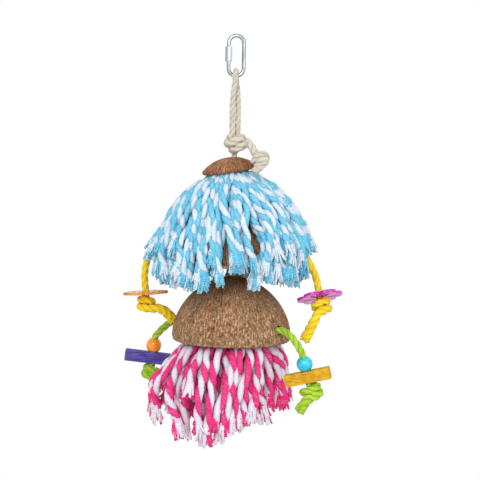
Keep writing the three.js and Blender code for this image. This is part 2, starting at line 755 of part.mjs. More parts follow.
arm(
  lower,
  "green_SIDE_right",
  greenRightPivot,
  [
    underLower(52.2, -38.6, 4.5),
    underLower(58.2, -42.6, 12),
    ...onAxis(greenRightSeat, greenRightAxis, [23, 11]),
  ],
  greenRightSeat,
  greenRightAxis,
  { hand: -1, endAngle: -100 },
  [underLower(57.4, -50, 52.5), underLower(58.4, -50.5, 59.5), underLower(60, -50.5, 66.1)],
  greenCord,
);

function beadGeometry() {
  const radius = beadWidth / 2;
  const mouth = Math.sqrt(radius * radius - cordHole * cordHole);
  const profile = [];
  const bands = 7;
  const edge = Math.asin(mouth / radius);
  for (let band = 0; band <= bands; band++) {
    const angle = -edge + (2 * edge * band) / bands;
    profile.push([radius * Math.cos(angle), mouth + radius * Math.sin(angle)]);
  }
  profile.push(profile[0]);
  return turned(profile, 18);
}

// A block: a bar with eased edges, bored across its middle
function blockGeometry(length) {
  const half = length / 2 - blockEdge;
  const wide = blockDepth / 2 - blockEdge;
  const face = new THREE.Shape([
    new THREE.Vector2(-half, -wide),
    new THREE.Vector2(half, -wide),
    new THREE.Vector2(half, wide),
    new THREE.Vector2(-half, wide),
  ]);
  const body = new THREE.ExtrudeGeometry(face, {
    depth: blockHeight - 2 * blockEdge,
    bevelThickness: blockEdge,
    bevelSize: blockEdge,
    bevelSegments: 1,
  });
  const hole = bar(cordHole, -1, blockHeight + 1, 14);
  return geometryOf(solidOf(body.translate(0, 0, blockEdge)).subtract(solidOf(hole)));
}

const beadHeight = blockHeight + seatGap;
const leftBlock = blockGeometry(leftBlockLength);
add(onKnot(lower, greenLeftSeat, greenLeftAxis, 0), "block_left", leftBlock, purpleWood);
add(onKnot(lower, greenLeftSeat, greenLeftAxis, beadHeight), "bead_left", beadGeometry(), orangeBead);
const rightBlock = blockGeometry(rightBlockLength).rotateZ(radians(-10));
add(onKnot(lower, greenRightSeat, greenRightAxis, 0), "block_right", rightBlock, ochreWood);
add(onKnot(lower, greenRightSeat, greenRightAxis, beadHeight), "bead_right", beadGeometry(), blueBead);

export default toy;
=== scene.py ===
# The looks of the hanging bird toy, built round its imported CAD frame. Metres, +Z up, X right, Y back.
import random
from functools import partial
from math import asin, atan, atan2, copysign, cos, exp, pi, radians, sin, sqrt

import bpy
from mathutils import Matrix, Vector


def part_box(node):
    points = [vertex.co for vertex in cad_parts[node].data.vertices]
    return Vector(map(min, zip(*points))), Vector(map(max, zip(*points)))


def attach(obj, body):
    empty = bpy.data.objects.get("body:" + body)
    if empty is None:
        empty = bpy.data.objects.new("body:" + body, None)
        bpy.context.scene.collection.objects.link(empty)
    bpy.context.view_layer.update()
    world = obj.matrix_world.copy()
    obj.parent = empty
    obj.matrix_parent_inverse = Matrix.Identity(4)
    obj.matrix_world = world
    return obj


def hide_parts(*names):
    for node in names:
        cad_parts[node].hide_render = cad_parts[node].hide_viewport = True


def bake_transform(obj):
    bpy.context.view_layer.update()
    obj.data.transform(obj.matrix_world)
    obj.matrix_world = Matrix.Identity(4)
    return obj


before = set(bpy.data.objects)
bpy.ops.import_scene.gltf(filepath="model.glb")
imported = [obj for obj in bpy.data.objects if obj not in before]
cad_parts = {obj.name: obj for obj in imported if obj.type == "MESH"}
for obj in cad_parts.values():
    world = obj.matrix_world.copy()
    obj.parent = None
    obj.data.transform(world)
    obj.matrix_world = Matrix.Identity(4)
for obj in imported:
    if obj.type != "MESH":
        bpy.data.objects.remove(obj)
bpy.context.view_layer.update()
scene = bpy.context.scene

MM = 0.001


def at(x, y, z):
    """A point of the toy from millimetres."""
    return Vector((x * MM, y * MM, z * MM))


# Sizes shared with the CAD, in millimetres and degrees
SEAT_GAP = 0.35
SLIP_GAP = 0.15
THREAD_GAP = 0.6
LINK_WIRE = 3.2
LINK_BOW = 6.6
LINK_UPPER = -5.0
LINK_LOWER = -26.8
NUT_TOP = -8.0
NUT_LENGTH = 13.0
NUT_FLATS = 6.0
NUT_TRAVEL = 5.6
NUT_THREAD = 2.0
NUT_OVERHANG = 0.5
ROPE = 5.2
LEG_SPREAD = 2.5
LEG_DEPTH = 1.6
SIDE_KNOT_TURNS = 1.4
SHELL_RADIUS = 52.5
SHELL_DOME = 52.5
SHELL_SKIRT = 4.0
SHELL_RIM_IN = 0.8
SHELL_WALL = 3.5
SHELL_POWER = 1.85
UPPER_CROWN = -141.0
LOWER_CROWN = -209.0
UPPER_HOLE = UPPER_CROWN - 44.0
LOWER_HOLE = LOWER_CROWN - 43.5
UPPER_HOLE_TURN = -11.0
LOWER_HOLE_TURN = -36.0
BESIDE_ROPE = 6.8
CAP_TOP = -104.0
CAP_DOME = 35.5
CAP_WALL = 4.0
CAP_RADIUS = 25.4
CAP_TILT = 9.0
FLOWER_WIDTH = 40.0
FLOWER_THICK = 2.6
FLOWER_RIB = 0.7
FLOWER_PETALS = 6
BEAD_WIDTH = 14.0
BLOCK_HEIGHT = 10.0
BLOCK_DEPTH = 10.0
BLOCK_EDGE = 0.7
LEFT_BLOCK = 50.0
RIGHT_BLOCK = 40.0
RIGHT_BLOCK_TURN = -10.0
CORD_HOLE = 3.5
BLUE_YARN = 7.6
PINK_YARN = 8.6

# Sizes of this model alone. Its cords and knots are a little fuller than those of the CAD
SIDE_CORD = 6.6
TAIL_CORD = 7.4
MAIN_KNOT_CORD = 7.6
TAIL_KNOT_CORD = 6.4
SIDE_KNOT_CORD = 6.8
STOPPER_CORD = 5.6
SHELL_HOLE = 4.3
CAP_ROPE_GAP = 1.0
IN_WALL = 47.5
CROSS_END = 47.3
CROSS_BEND = 44.0
NUT_CHAMFER = 0.7
PETAL_DIP = 0.26
BORE_LENGTH = 150.0

# Twist and fray: lays and the rise of a knot's turn in cord widths, brushes of loose yarns in millimetres
CORD_PLIES = 3
YARN_PLIES = 2
PLY_LOBE = 0.62
CORD_LAY = 3.4
KNOT_LAY = 3.0
KNOT_PITCH = 0.88
FRAY_YARNS = 22
SIDE_BRUSH = 3.6
SIDE_SWELL = 0.4
TAIL_BRUSH = 5.0
TAIL_SWELL = 0.3
STOPPER_BRUSH = 4.0

# Mops, in millimetres, and in degrees round the toy from its right side
MOP_QUARTERS = ("front", "right", "back", "left")
MOP_BRUSH = 12.0
TIP_SPREAD = (-7, 5)
KINK = 2.6
MIDDLE_SWAY = 5.0
END_SWAY = 7.0
BLUE_SEED = 75
BLUE_LAY = 23.0
BLUE_TIP = -206.0
BLUE_FRONT_DROP = 4.0
BLUE_BACK_DROP = 9.0
BLUE_MID_BACK_DROP = 7.0
BLUE_RAISES = (0, 4, 11, 20)
BLUE_LEFT_TIPS = (-193, -186)
BLUE_FRONT_TIPS = (-198, -194)
BLUE_CORD_TIPS = (-187, -183)
PARTING_TURN = -72.0
PARTING_HALF = 22.0
PARTING_PUSH = 7.0
PINK_SEED = 97
PINK_LAY = 27.0
PINK_STRAY = 1.4
PINK_RIM = LOWER_CROWN - SHELL_DOME - SHELL_SKIRT
PINK_TIP = PINK_RIM - 54.0
PINK_FRONT_TURN = 240.0
PINK_FRONT_DROP = 27.0
PINK_RIGHT_RAISE = 3.0
PINK_HANG = 45.5
PINK_LEAN = 7.0 / 80.0
LEFT_FLARE = 23.0
RIGHT_FLARE = 9.0
HOLE_TUCK = 6.0
HOLE_TUCK_TURN = 24.0

# How finely round shapes are divided
ROUTE_STEPS = 12
CORD_SIDES = 18
BOW_STEPS = 24
SHELL_BANDS = 16
CAP_BANDS = 8
FLOWER_RINGS = 12

# Camera: level with the middle of the toy, a little above it, and turned by the lean of the hanging toy
CAMERA_AWAY = 1500.0
CAMERA_RISE = 5.0
CAMERA_ROLL = 1.05
CAMERA_AIM = at(6.2, 0, -177)
MM_PER_PIXEL = 0.88
FRAME_PIXELS = 480


def linked(name, data):
    """A new object in the scene."""
    made = bpy.data.objects.new(name, data)
    scene.collection.objects.link(made)
    return made


lens = bpy.data.cameras.new("camera")
lens.sensor_fit = "HORIZONTAL"
lens.angle = 2 * atan(FRAME_PIXELS / 2 * MM_PER_PIXEL / CAMERA_AWAY)
rise = radians(CAMERA_RISE)
back = Vector((0, -cos(rise), sin(rise)))
facing = back.to_track_quat("Z", "Y").to_matrix().to_4x4()
roll = Matrix.Rotation(radians(CAMERA_ROLL), 4, "Z")
scene.camera = linked("camera", lens)
scene.camera.matrix_world = Matrix.Translation(CAMERA_AIM + back * CAMERA_AWAY * MM) @ facing @ roll


# Materials

def linear(code):
    """The linear colour of an sRGB hex code."""
    parts = [int(code[i:i + 2], 16) / 255 for i in (1, 3, 5)]
    return tuple(c / 12.92 if c <= 0.04045 else ((c + 0.055) / 1.055) ** 2.4 for c in parts) + (1.0,)


def fill(tree, made, inputs):
    """Sets or links a node's inputs, given by name or in order."""
    for name, value in inputs.items() if isinstance(inputs, dict) else enumerate(inputs):
        if isinstance(value, bpy.types.NodeSocket):
            tree.links.new(value, made.inputs[name])
        else:
            made.inputs[name].default_value = value


def node(tree, kind, inputs=(), out=0, stops=(), **settings):
    """Adds a node with its settings, inputs and a ramp's (place, hex code) stops, and gives one output."""
    made = tree.nodes.new("ShaderNode" + kind)
    for name, value in settings.items():
        setattr(made, name, value)
    fill(tree, made, inputs)
    while len(stops) > 2 and len(made.color_ramp.elements) < len(stops):
        made.color_ramp.elements.new(0.5)
    for number, (place, code) in enumerate(stops):
        made.color_ramp.elements[number].position = place
        made.color_ramp.elements[number].color = linear(code)
    return made.outputs[out]


def blank(name):
    """A new material, a function that adds its nodes, and one that fills its principled shader."""
    material = bpy.data.materials.new(name)
    material.use_nodes = True
    tree = material.node_tree
    return material, partial(node, tree), partial(fill, tree, tree.nodes["Principled BSDF"])


def twisted_fibre(name, colours, painted_shades, plies, fibres, sheen, loose, mixing):
    """Spun cotton: soft, matt plies with fine diagonal yarns, with painted shade where two plies meet and
    along the low lines of the fine yarns. The UV map holds millimetres along and plies round, so a noise
    scale counts spots a millimetre. Yarns are drawn coarser than real ones, to show. The second pair of
    colours holds the painted shade of the two plies. loose is how far a ply's edge wanders, as a share of the
    ply, and mixing how much of the other ply's colour its stray fibres carry."""
    material, add, finish = blank(name)
    uv = add("UVMap")
    length, turn, _ = add("SeparateXYZ", {"Vector": uv}).node.outputs
    wobble = add("TexNoise", {"Vector": uv, "Scale": 0.35, "Detail": 3.0})
    shift = add("Math", [wobble, loose, -loose / 2], operation="MULTIPLY_ADD")
    loose_turn = add("Math", [turn, shift], operation="ADD")
    from_edge = add("Math", [loose_turn, 0.5], operation="PINGPONG")
    which = add("Math", [loose_turn, plies], operation="FLOORED_MODULO")
    second = add("Math", [which, plies / 2], operation="GREATER_THAN")
    slant = add("Math", [length, 0.16, turn], operation="MULTIPLY_ADD")
    lines = add("Math", [slant, fibres * 2 * pi], operation="MULTIPLY")
    wave = add("Math", [lines], operation="SINE")
    fuzz_place = add("CombineXYZ", {"X": length, "Y": lines})
    fuzz = add("TexNoise", {"Vector": fuzz_place, "Scale": 0.8, "Detail": 5.0})
    stray_place = add("VectorMath", [fuzz_place, (0.3, 0.3, 1.0)], operation="MULTIPLY")
    stray = add("TexNoise", {"Vector": stray_place, "Scale": 1.0, "Detail": 3.0})
    other = add("MapRange", {"Value": stray, "From Min": 0.5, "From Max": 0.72, "To Max": mixing})
    swapped = add("Math", [second, other], operation="SUBTRACT")
    tint = add("Math", [swapped], operation="ABSOLUTE")
    relief = add("Math", [wave, 0.35, fuzz], operation="MULTIPLY_ADD")
    # Painted shade: darkest where two plies meet, and along the low lines of the fine yarns
    groove = add("MapRange", {"Value": from_edge, "From Min": 0.23, "From Max": 0.0, "To Max": 0.8})
    line = add("MapRange", {"Value": relief, "From Min": 0.75, "From Max": 0.1, "To Max": 0.45})
    painted_shade = add("Math", [line, groove], operation="MAXIMUM")
    # deep is each ply's painted shade colour, mixed over its plain colour by the painted shade mask
    plain, deep = [
        add("Mix", {0: tint, 6: linear(one), 7: linear(two)}, 2, data_type="RGBA")
        for one, two in (colours, painted_shades)
    ]
    base = add("Mix", {0: painted_shade, 6: plain, 7: deep}, 2, data_type="RGBA")
    bump = add("Bump", {"Height": relief, "Strength": 0.5, "Distance": 0.6 * MM})
    finish({"Base Color": base, "Normal": bump, "Roughness": 0.92})
    finish({"Sheen Weight": sheen, "Sheen Roughness": 0.6})
    return material


# Undyed rope of hard twisted fibre: pale straw, with fine strands along each ply and grey-brown painted shade
# in its grooves
natural_rope = twisted_fibre(
    "natural_fibre_rope", ("#e4dccb", "#dbd2c0"), ("#978a76", "#978a76"),
    CORD_PLIES, fibres=5, sheen=0.25, loose=0.3, mixing=0.5,
)
# Dyed soft cord: even colour, with darker and warmer painted shade in the grooves
yellow_dyed = twisted_fibre(
    "yellow_dyed_cord", ("#fdea30", "#f9dc12"), ("#dda404", "#dda404"),
    CORD_PLIES, fibres=4, sheen=0.04, loose=0.3, mixing=0.5,
)
green_dyed = twisted_fibre(
    "green_dyed_cord", ("#c3e246", "#a8d22a"), ("#5f8c0c", "#5f8c0c"),
    CORD_PLIES, fibres=4, sheen=0.05, loose=0.3, mixing=0.7,
)
# Two-ply cotton mop yarn: one dyed ply and one white ply, which shows as a candy stripe with wandering edges,
# with deeper-coloured painted shade in the grooves
blue_white = twisted_fibre(
    "blue_and_white_cotton", ("#6cd2ee", "#f0f3fa"), ("#0a90c0", "#9ac6e2"),
    YARN_PLIES, fibres=4, sheen=0.06, loose=0.5, mixing=0.6,
)
pink_white = twisted_fibre(
    "pink_and_white_cotton", ("#fa1c86", "#f4f2fb"), ("#c4085e", "#c3b6d6"),
    YARN_PLIES, fibres=4, sheen=0.03, loose=0.22, mixing=0.3,
)


def coconut(name, stops, red, fibre):
    """Sanded coconut shell: brown and matt, with short fibres that run up to the crown, pale scratches, and
    long darker and redder bands. fibre is the fibres' width in millimetres, coarser than real to show."""
    long = 5.263 * fibre
    blotches = 14.29
    specks = 1.613
    material, add, finish = blank(name)
    place = add("TexCoord", out="Object")
    x, y, z = add("SeparateXYZ", {"Vector": place}).node.outputs
    angle = add("Math", [y, x], operation="ARCTAN2")
    around = add("Math", [angle, SHELL_RADIUS / fibre], operation="MULTIPLY")
    up = add("Math", [z, 1 / (long * MM)], operation="MULTIPLY")
    along = add("CombineXYZ", {"X": around, "Y": up})
    wide = add("VectorMath", [along, (0.3, 0.12, 1.0)], operation="MULTIPLY")
    bands = add("TexNoise", {"Vector": wide, "Scale": 1.0, "Detail": 3.0})
    tone = -0.08
    for where, scale, detail, rough, weight in (
        (along, 1.0, 6.0, 0.65, 0.6),
        (place, 1 / (blotches * MM), 5.0, 0.7, 0.14),
        (place, 1 / (specks * MM), 3.0, 0.5, 0.26),
    ):
        spots = add("TexNoise", {"Vector": where, "Scale": scale, "Detail": detail, "Roughness": rough})
        tone = add("Math", [spots, weight, tone], operation="MULTIPLY_ADD")
    tone = add("Math", [bands, 0.16, tone], operation="MULTIPLY_ADD")
    plain = add("ValToRGB", {"Fac": tone}, stops=stops)
    redness = add("MapRange", {"Value": bands, "From Min": 0.5, "From Max": 0.7, "To Max": 0.55})
    mixed = {0: redness, 6: plain, 7: linear(red)}
    base = add("Mix", mixed, 2, data_type="RGBA", blend_type="OVERLAY")
    bump = add("Bump", {"Height": tone, "Strength": 0.7, "Distance": 1.2 * MM})
    finish({"Base Color": base, "Normal": bump, "Roughness": 0.8, "Specular IOR Level": 0.3})
    return material


shell_brown = coconut(
    "sanded_coconut_shell",
    ((0.39, "#4a3020"), (0.46, "#80603f"), (0.51, "#9a7452"), (0.56, "#be9976"), (0.64, "#f4e2c8")),
    red="#a06a48",
    fibre=1.0,
)
cap_brown = coconut(
    "polished_coconut_cap",
    ((0.39, "#452412"), (0.46, "#76492b"), (0.51, "#94623d"), (0.56, "#b88a66"), (0.64, "#e8c9ae")),
    red="#9a6040",
    fibre=1.1,
)


def plated_steel(name, painted_side_colour, deep, light, smoothest, roughest):
    """Zinc-plated steel: a bright reflecting coat with faint clouds in its plating. Along the inner and outer
    side of the link's oval, away from the wire's middle line, the colour is painted darker as a painted
    reflection."""
    clouds = 8.333
    wire = LINK_WIRE * MM
    material, add, finish = blank(name)
    place = add("TexCoord", out="Object")
    cloud = add("TexNoise", {"Vector": place, "Scale": 1 / (clouds * MM), "Detail": 2.0})
    coat = add("ValToRGB", {"Fac": cloud}, stops=((0.3, deep), (0.7, light)))
    x, _, z = add("SeparateXYZ", {"Vector": place}).node.outputs
    on_leg = add("Clamp", {"Value": z, "Min": LINK_LOWER * MM, "Max": LINK_UPPER * MM})
    past_leg = add("Math", [z, on_leg], operation="SUBTRACT")
    flat = add("CombineXYZ", {"X": x, "Z": past_leg})
    reach = add("VectorMath", [flat], "Value", operation="LENGTH")
    aside = add("Math", [reach, LINK_BOW * MM], operation="SUBTRACT")
    off_middle = add("Math", [aside], operation="ABSOLUTE")
    # Painted reflection: the colour darkens towards the sides of the wire that face in and out of the oval
    painted_side_mask = add("MapRange", {"Value": off_middle, "From Min": 0.22 * wire, "From Max": 0.5 * wire})
    base = add("Mix", {0: painted_side_mask, 6: coat, 7: linear(painted_side_colour)}, 2, data_type="RGBA")
    rough = add("MapRange", {"Value": cloud, "To Min": smoothest, "To Max": roughest})
    tint = linear("#70787c")
    finish({"Base Color": base, "Roughness": rough, "Metallic": 1.0, "Specular Tint": tint})
    return material


# Drawn wire under a thin plating: mirror-like, with a painted darker reflection on its sides. The turned nut:
# pale and satin, its sides painted a little darker the same way
wire_zinc = plated_steel("zinc_plated_wire", "#475054", "#98a2a7", "#ccd4d8", 0.07, 0.14)
nut_zinc = plated_steel("zinc_plated_nut", "#a8afb2", "#cbd0d3", "#e2e6e8", 0.24, 0.36)


def glossy(name, light, deep, patch, detail, inputs):
    """A smooth piece whose colour goes from light to deep in patches of a width in millimetres."""
    material, add, finish = blank(name)
    place = add("TexCoord", out="Object")
    cloud = add("TexNoise", {"Vector": place, "Scale": 1 / (patch * MM), "Detail": detail})
    base = add("ValToRGB", {"Fac": cloud}, stops=((0.35, deep), (0.65, light)))
    finish({"Base Color": base, **inputs})
    return material


# Moulded acrylic, tinted right through: clear and glossy, with broad clouds where the tint flowed
ACRYLIC = {"Roughness": 0.08, "IOR": 1.49}
FLOW = 8.333
orange_clear = {**ACRYLIC, "Transmission Weight": 0.65}
magenta_clear = {**ACRYLIC, "Transmission Weight": 0.3}
orange_acrylic = glossy("orange_tinted_acrylic", "#ffc47c", "#ff9c34", FLOW, 2.0, orange_clear)
magenta_acrylic = glossy("magenta_tinted_acrylic", "#f03ce0", "#c4149f", FLOW, 2.0, magenta_clear)
# Dyed and lacquered wooden bead: smooth and glossy, with a faint grain under the coat
LACQUER = {"Roughness": 0.25, "Coat Weight": 0.6, "Coat Roughness": 0.08}
BEAD_GRAIN = 3.333
orange_bead = glossy("orange_lacquered_bead", "#ffa51c", "#ff8a04", BEAD_GRAIN, 4.0, LACQUER)
blue_bead = glossy("blue_lacquered_bead", "#04d2ea", "#00b4cc", BEAD_GRAIN, 4.0, LACQUER)


def stained_wood(name, stops, turn):
    """Stained softwood: matt dye over fine straight grain, with paler and deeper patches of stain."""
    grain_long = 16.67
    grain_wide = 1.111
    stains = 11.11
    material, add, finish = blank(name)
    place = add("TexCoord", out="Object")
    across = 1 / (grain_wide * MM)
    laid = {"Rotation": (0.0, radians(turn), 0.0), "Scale": (1 / (grain_long * MM), across, across)}
    grain_place = add("Mapping", {"Vector": place, **laid})
    grain = add("TexNoise", {"Vector": grain_place, "Scale": 1.0, "Detail": 6.0})
    stain = add("TexNoise", {"Vector": place, "Scale": 1 / (stains * MM), "Detail": 3.0})
    tone = add("Math", [stain, 0.4, grain], operation="MULTIPLY_ADD")
    base = add("ValToRGB", {"Fac": tone}, stops=stops)
    bump = add("Bump", {"Height": grain, "Strength": 0.4, "Distance": 0.4 * MM})
    finish({"Base Color": base, "Normal": bump, "Roughness": 0.72})
    return material


purple_wood = stained_wood("purple_stained_wood", ((0.5, "#2b2168"), (0.7, "#4a3d96"), (0.9, "#6a5cb4")), -6)
ochre_wood = stained_wood("ochre_stained_wood", ((0.5, "#b07a00"), (0.7, "#d8a000"), (0.9, "#e8b804")), 14)


# Cords and yarn

def smooth_route(points, step):
    """A smooth curve through the points, as points one step apart."""
    fine = []
    ends = [points[0] * 2 - points[1], *points, points[-1] * 2 - points[-2]]
    for a, b, c, d in zip(ends, ends[1:], ends[2:], ends[3:]):
        t1 = (b - a).length ** 0.5
        t2 = t1 + (c - b).length ** 0.5
        t3 = t2 + (d - c).length ** 0.5
        for i in range(ROUTE_STEPS):
            t = t1 + (t2 - t1) * i / ROUTE_STEPS
            ab = a + (b - a) * (t / t1)
            bc = b + (c - b) * ((t - t1) / (t2 - t1))
            cd = c + (d - c) * ((t - t2) / (t3 - t2))
            abc = ab + (bc - ab) * (t / t2)
            bcd = bc + (cd - bc) * ((t - t1) / (t3 - t1))
            fine.append(abc + (bcd - abc) * ((t - t1) / (t2 - t1)))
    fine.append(points[-1].copy())
    run = [0.0]
    for a, b in zip(fine, fine[1:]):
        run.append(run[-1] + (b - a).length)
    count = max(3, round(run[-1] / step))
    route = []
    j = 0
    for i in range(count + 1):
        goal = run[-1] * i / count
        while j < len(run) - 2 and run[j + 1] < goal:
            j += 1
        share = (goal - run[j]) / max(run[j + 1] - run[j], 1e-12)
        route.append(fine[j].lerp(fine[j + 1], min(1.0, share)))
    return route


class Spun:
    """Tubes of twisted plies that become one mesh. Its UV map holds millimetres along and plies round."""

    def __init__(self):
        self.points, self.faces, self.marks = [], [], []

    def tube(self, route, radius, plies, lay, sides, start=0.0, lobe=PLY_LOBE, fixed_ply=None, waver=0.0):
        """A tube along the route. radius is a number, or a function of the share of the length. lay is the
        length of one full turn of the plies, which waver loosens and tightens along the way. lobe is a ply's
        radius as a share of the tube's. fixed_ply keeps the whole tube in one ply's colour."""
        first = len(self.points)
        normal = (route[1] - route[0]).normalized().orthogonal().normalized()
        run = 0.0
        last = len(route) - 1
        turns = []
        for i, here in enumerate(route):
            if i:
                run += (here - route[i - 1]).length
            ahead = (route[min(i + 1, last)] - route[max(i - 1, 0)]).normalized()
            normal = (normal - ahead * normal.dot(ahead)).normalized()
            across = ahead.cross(normal)
            size = radius(i / last) if callable(radius) else radius
            turn = start + run / lay + waver * sin(run / lay * 4 + start * 40)
            turns.append((run / MM, turn))
            for k in range(sides):
                angle = 2 * pi * k / sides
                off = ((k / sides - turn) * plies % 1 - 0.5) * 2 * pi / plies
                set_back = 1 - lobe
                reach = set_back * cos(off)
                reach += sqrt(max(0.0, lobe * lobe - (set_back * sin(off)) ** 2))
                out = normal * cos(angle) + across * sin(angle)
                self.points.append(here + out * size * reach)

        def mark(row, side):
            mm, turn = turns[row]
            return mm, (side / sides - turn) * plies if fixed_ply is None else fixed_ply

        for i in range(last):
            for k in range(sides):
                a = first + i * sides + k
                b = first + i * sides + (k + 1) % sides
                self.faces.append((a, b, b + sides, a + sides))
                for row, side in ((i, k), (i, k + 1), (i + 1, k + 1), (i + 1, k)):
                    self.marks.append(mark(row, side))
        for row, flip in ((0, True), (last, False)):
            ring = [first + row * sides + k for k in range(sides)]
            self.points.append(route[row].copy())
            hub = len(self.points) - 1
            for k in range(sides):
                pair = (ring[k], ring[(k + 1) % sides])
                self.faces.append((*(pair[::-1] if flip else pair), hub))
                self.marks.extend([mark(row, k)] * 3)

    def fray(self, tip, along, radius, plies, length, spread, dice):
        """Blunt yarns that fan out of a cut end, with those of one ply side by side."""
        side = along.orthogonal().normalized()
        other = along.cross(side)
        turn = dice.uniform(0, 2 * pi)
        sunk = radius * 0.9
        for n in range(FRAY_YARNS):
            angle = turn + 2 * pi * (n + dice.uniform(-0.4, 0.4)) / FRAY_YARNS
            out = side * cos(angle) + other * sin(angle)
            start = tip + out * radius * dice.uniform(0.3, 0.75) - along * sunk
            long = length * dice.uniform(0.5, 1.15) + sunk
            wide = spread * dice.uniform(0.0, 1.0)
            drift = (other * cos(angle) - side * sin(angle)) * spread * dice.uniform(-0.7, 0.7)
            route = [
                start,
                start + along * long * 0.4 + out * wide * 0.25,
                start + along * long * 0.75 + out * wide * 0.65 + drift * 0.5,
                start + along * long + out * wide + drift,
            ]
            thick = radius * dice.uniform(0.2, 0.32)
            ply = n * plies // FRAY_YARNS + 0.5
            taper = lambda share, thick=thick: thick * (1 - 0.25 * share)
            self.tube(route, taper, 1, length, sides=6, lobe=1.0, fixed_ply=ply)

    def make(self, name, material):
        """The finished mesh as a piece."""
        mesh = bpy.data.meshes.new(name)
        mesh.from_pydata(self.points, [], self.faces)
        layer = mesh.uv_layers.new(name="UVMap")
        layer.data.foreach_set("uv", [number for mark in self.marks for number in mark])
        mesh.polygons.foreach_set("use_smooth", [True] * len(mesh.polygons))
        mesh.materials.append(material)
        return linked(name, mesh)


def tie(piece, slot, body, *nodes):
    """Ties a piece to the frame: hides the solids it stands for and hangs it on the body it rides. slot, its
    material slot, is not used.
    """
    if nodes:
        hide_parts(*nodes)
    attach(piece, body)
    return piece


def twisted_cord(name, route, diameter, material):
    """One three-ply cord along a route."""
    spun = Spun()
    spun.tube(route, diameter * MM / 2, CORD_PLIES, CORD_LAY * diameter * MM, CORD_SIDES)
    return spun.make(name, material)


class Knot:
    """A knot pulled tight under its seat: the cord comes out of the middle, winds round it on a ring and
    leaves at the end angle. The first wrap lies level against the seat for some degrees."""

    def __init__(self, seat, axis, cord, ring, turns, end, hand=1, tail=(), level=0.0):
        self.cord = cord
        arc = 2 * pi * turns
        first = radians(end) - hand * arc
        flat = radians(level)
        side = (Vector((1, 0, 0)) - axis * axis.x).normalized()
        turn = Matrix((side, axis.cross(side), axis)).transposed()
        stops = round(arc / radians(30))
        points = [Vector((0, 0, 0.3)), Vector((0, 0, -0.3 * cord))]
        for stop in range(stops + 1):
            swing = arc * stop / stops
            reach = ring * min(1.0, 0.5 + swing / radians(100))
            angle = first + hand * swing
            fallen = max(0.0, swing - flat) / (arc - flat)
            height = -SEAT_GAP - cord / 2 - KNOT_PITCH * cord * turns * fallen
            points.append(Vector((reach * cos(angle), reach * sin(angle), height)))
        self.route = [seat + (turn @ point) * MM for point in points] + list(tail)
        self.core = [seat, seat + axis * (points[-1].z - cord * 0.3) * MM]


def lean(x, y):
    """The upright direction, leaning by x and y for each unit up."""
    return Vector((x, y, 1)).normalized()


def in_hole(turn, reach, height):
    """A point at a reach from the rope and a turn in degrees round it."""
    angle = radians(turn)
    return at(reach * cos(angle), reach * sin(angle), height)


def knot_piece(name, knot, material, seed=0, brush=0.0, swell=0.0):
    """A tied knot. Its tail swells as its plies loosen, and ends in a brush of yarns of the given length."""
    spun = Spun()
    cord = knot.cord * MM
    fine = smooth_route(knot.route, cord / 5)

    def radius(share):
        return cord / 2 * (1 + swell * min(1.0, max(0.0, share - 0.6) * 3.5))

    spun.tube(fine, radius, CORD_PLIES, KNOT_LAY * cord, CORD_SIDES)
    spun.tube(smooth_route(knot.core, cord / 4), cord / 2, CORD_PLIES, KNOT_LAY * cord, sides=14)
    if brush:
        along = (fine[-1] - fine[-3]).normalized()
        spun.fray(fine[-1], along, radius(1.0), CORD_PLIES, brush * MM, cord * 0.2, random.Random(seed))
    return spun.make(name, material)


# Side cords. Each colour's body, material, hole turn and height, reaches in the hole, heights above the seat
# where the cord runs straight, and degrees that its knot's first wrap lies level
CORD_KINDS = {
    "yellow": ("canopy", yellow_dyed, UPPER_HOLE_TURN, UPPER_HOLE, (IN_WALL, 55.0), (18, 7), 90),
    "green": ("lower", green_dyed, LOWER_HOLE_TURN, LOWER_HOLE, (IN_WALL,), (23, 11), 0),
}


def side_cord(seed, colour, side, pivot, way, seat, axis, ring, end, tail):
    """A side cord: it leaves its shell by a hole, bends at its pivot, and goes down to its seat on a knot.
    Gives the seat and the axis for the pieces on it."""
    body, material, turn, height, reaches, straight, level = CORD_KINDS[colour]
    left = side == "left"
    hole = [in_hole(turn + 180 * left, reach, height) for reach in reaches]
    on_axis = [seat + axis * above * MM for above in straight]
    route = smooth_route([*hole, pivot, *way, *on_axis, seat], SIDE_CORD * MM / 5)
    name = f"{colour}_{side}"
    slot = colour + "_cord"
    cord = twisted_cord(name + "_cord", route, SIDE_CORD, material)
    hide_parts(f"{colour}_cord_{side}")
    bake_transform(cord)
    hand = 1 if left else -1
    tied = Knot(seat, axis, SIDE_KNOT_CORD, ring, SIDE_KNOT_TURNS, end, hand, tail, level)
    knot = knot_piece(name + "_knot", tied, material, seed, SIDE_BRUSH, SIDE_SWELL)
    tie(knot, slot, name, f"{colour}_knot_{side}")
    return seat, axis


yellow_left = side_cord(
    0, "yellow", "left", pivot=at(-69.6, 11, -188.5), way=[at(-75.6, 11.2, -197)],
    seat=at(-76.7, 10.9, -228.5), axis=lean(-0.07, 0.07), ring=5.6, end=-60,
    tail=[at(-64.5, 7.6, -240), at(-58.5, 10, -243.5), at(-53, 13.5, -249.5)],
)
yellow_right = side_cord(
    1, "yellow", "right", pivot=at(62, -11.5, -188), way=[at(69.2, -11.2, -199)],
    seat=at(77.1, -15.6, -226.1), axis=lean(-0.2, 0.37), ring=6.2, end=-120,
    tail=[at(71.6, -25, -245), at(68.8, -23.6, -251.5), at(65.2, -21.6, -259)],
)
green_left = side_cord(
    2, "green", "left", pivot=at(-45.8, 33.2, -252.5), way=[at(-54.5, 39.5, -256), at(-63.8, 43.5, -264)],
    seat=at(-72.3, 45, -294.9), axis=lean(0.105, 0), ring=5.4, end=-50,
    tail=[at(-62.5, 46, -306), at(-58.5, 48.5, -310)],
)
green_right = side_cord(
    3, "green", "right", pivot=at(45.8, -33.2, -252.5), way=[at(52.2, -38.6, -257), at(58.2, -42.6, -264.5)],
    seat=at(67.7, -44, -295), axis=lean(-0.25, 0), ring=7.0, end=-105,
    tail=[at(64.5, -53, -311), at(61, -52, -316)],
)


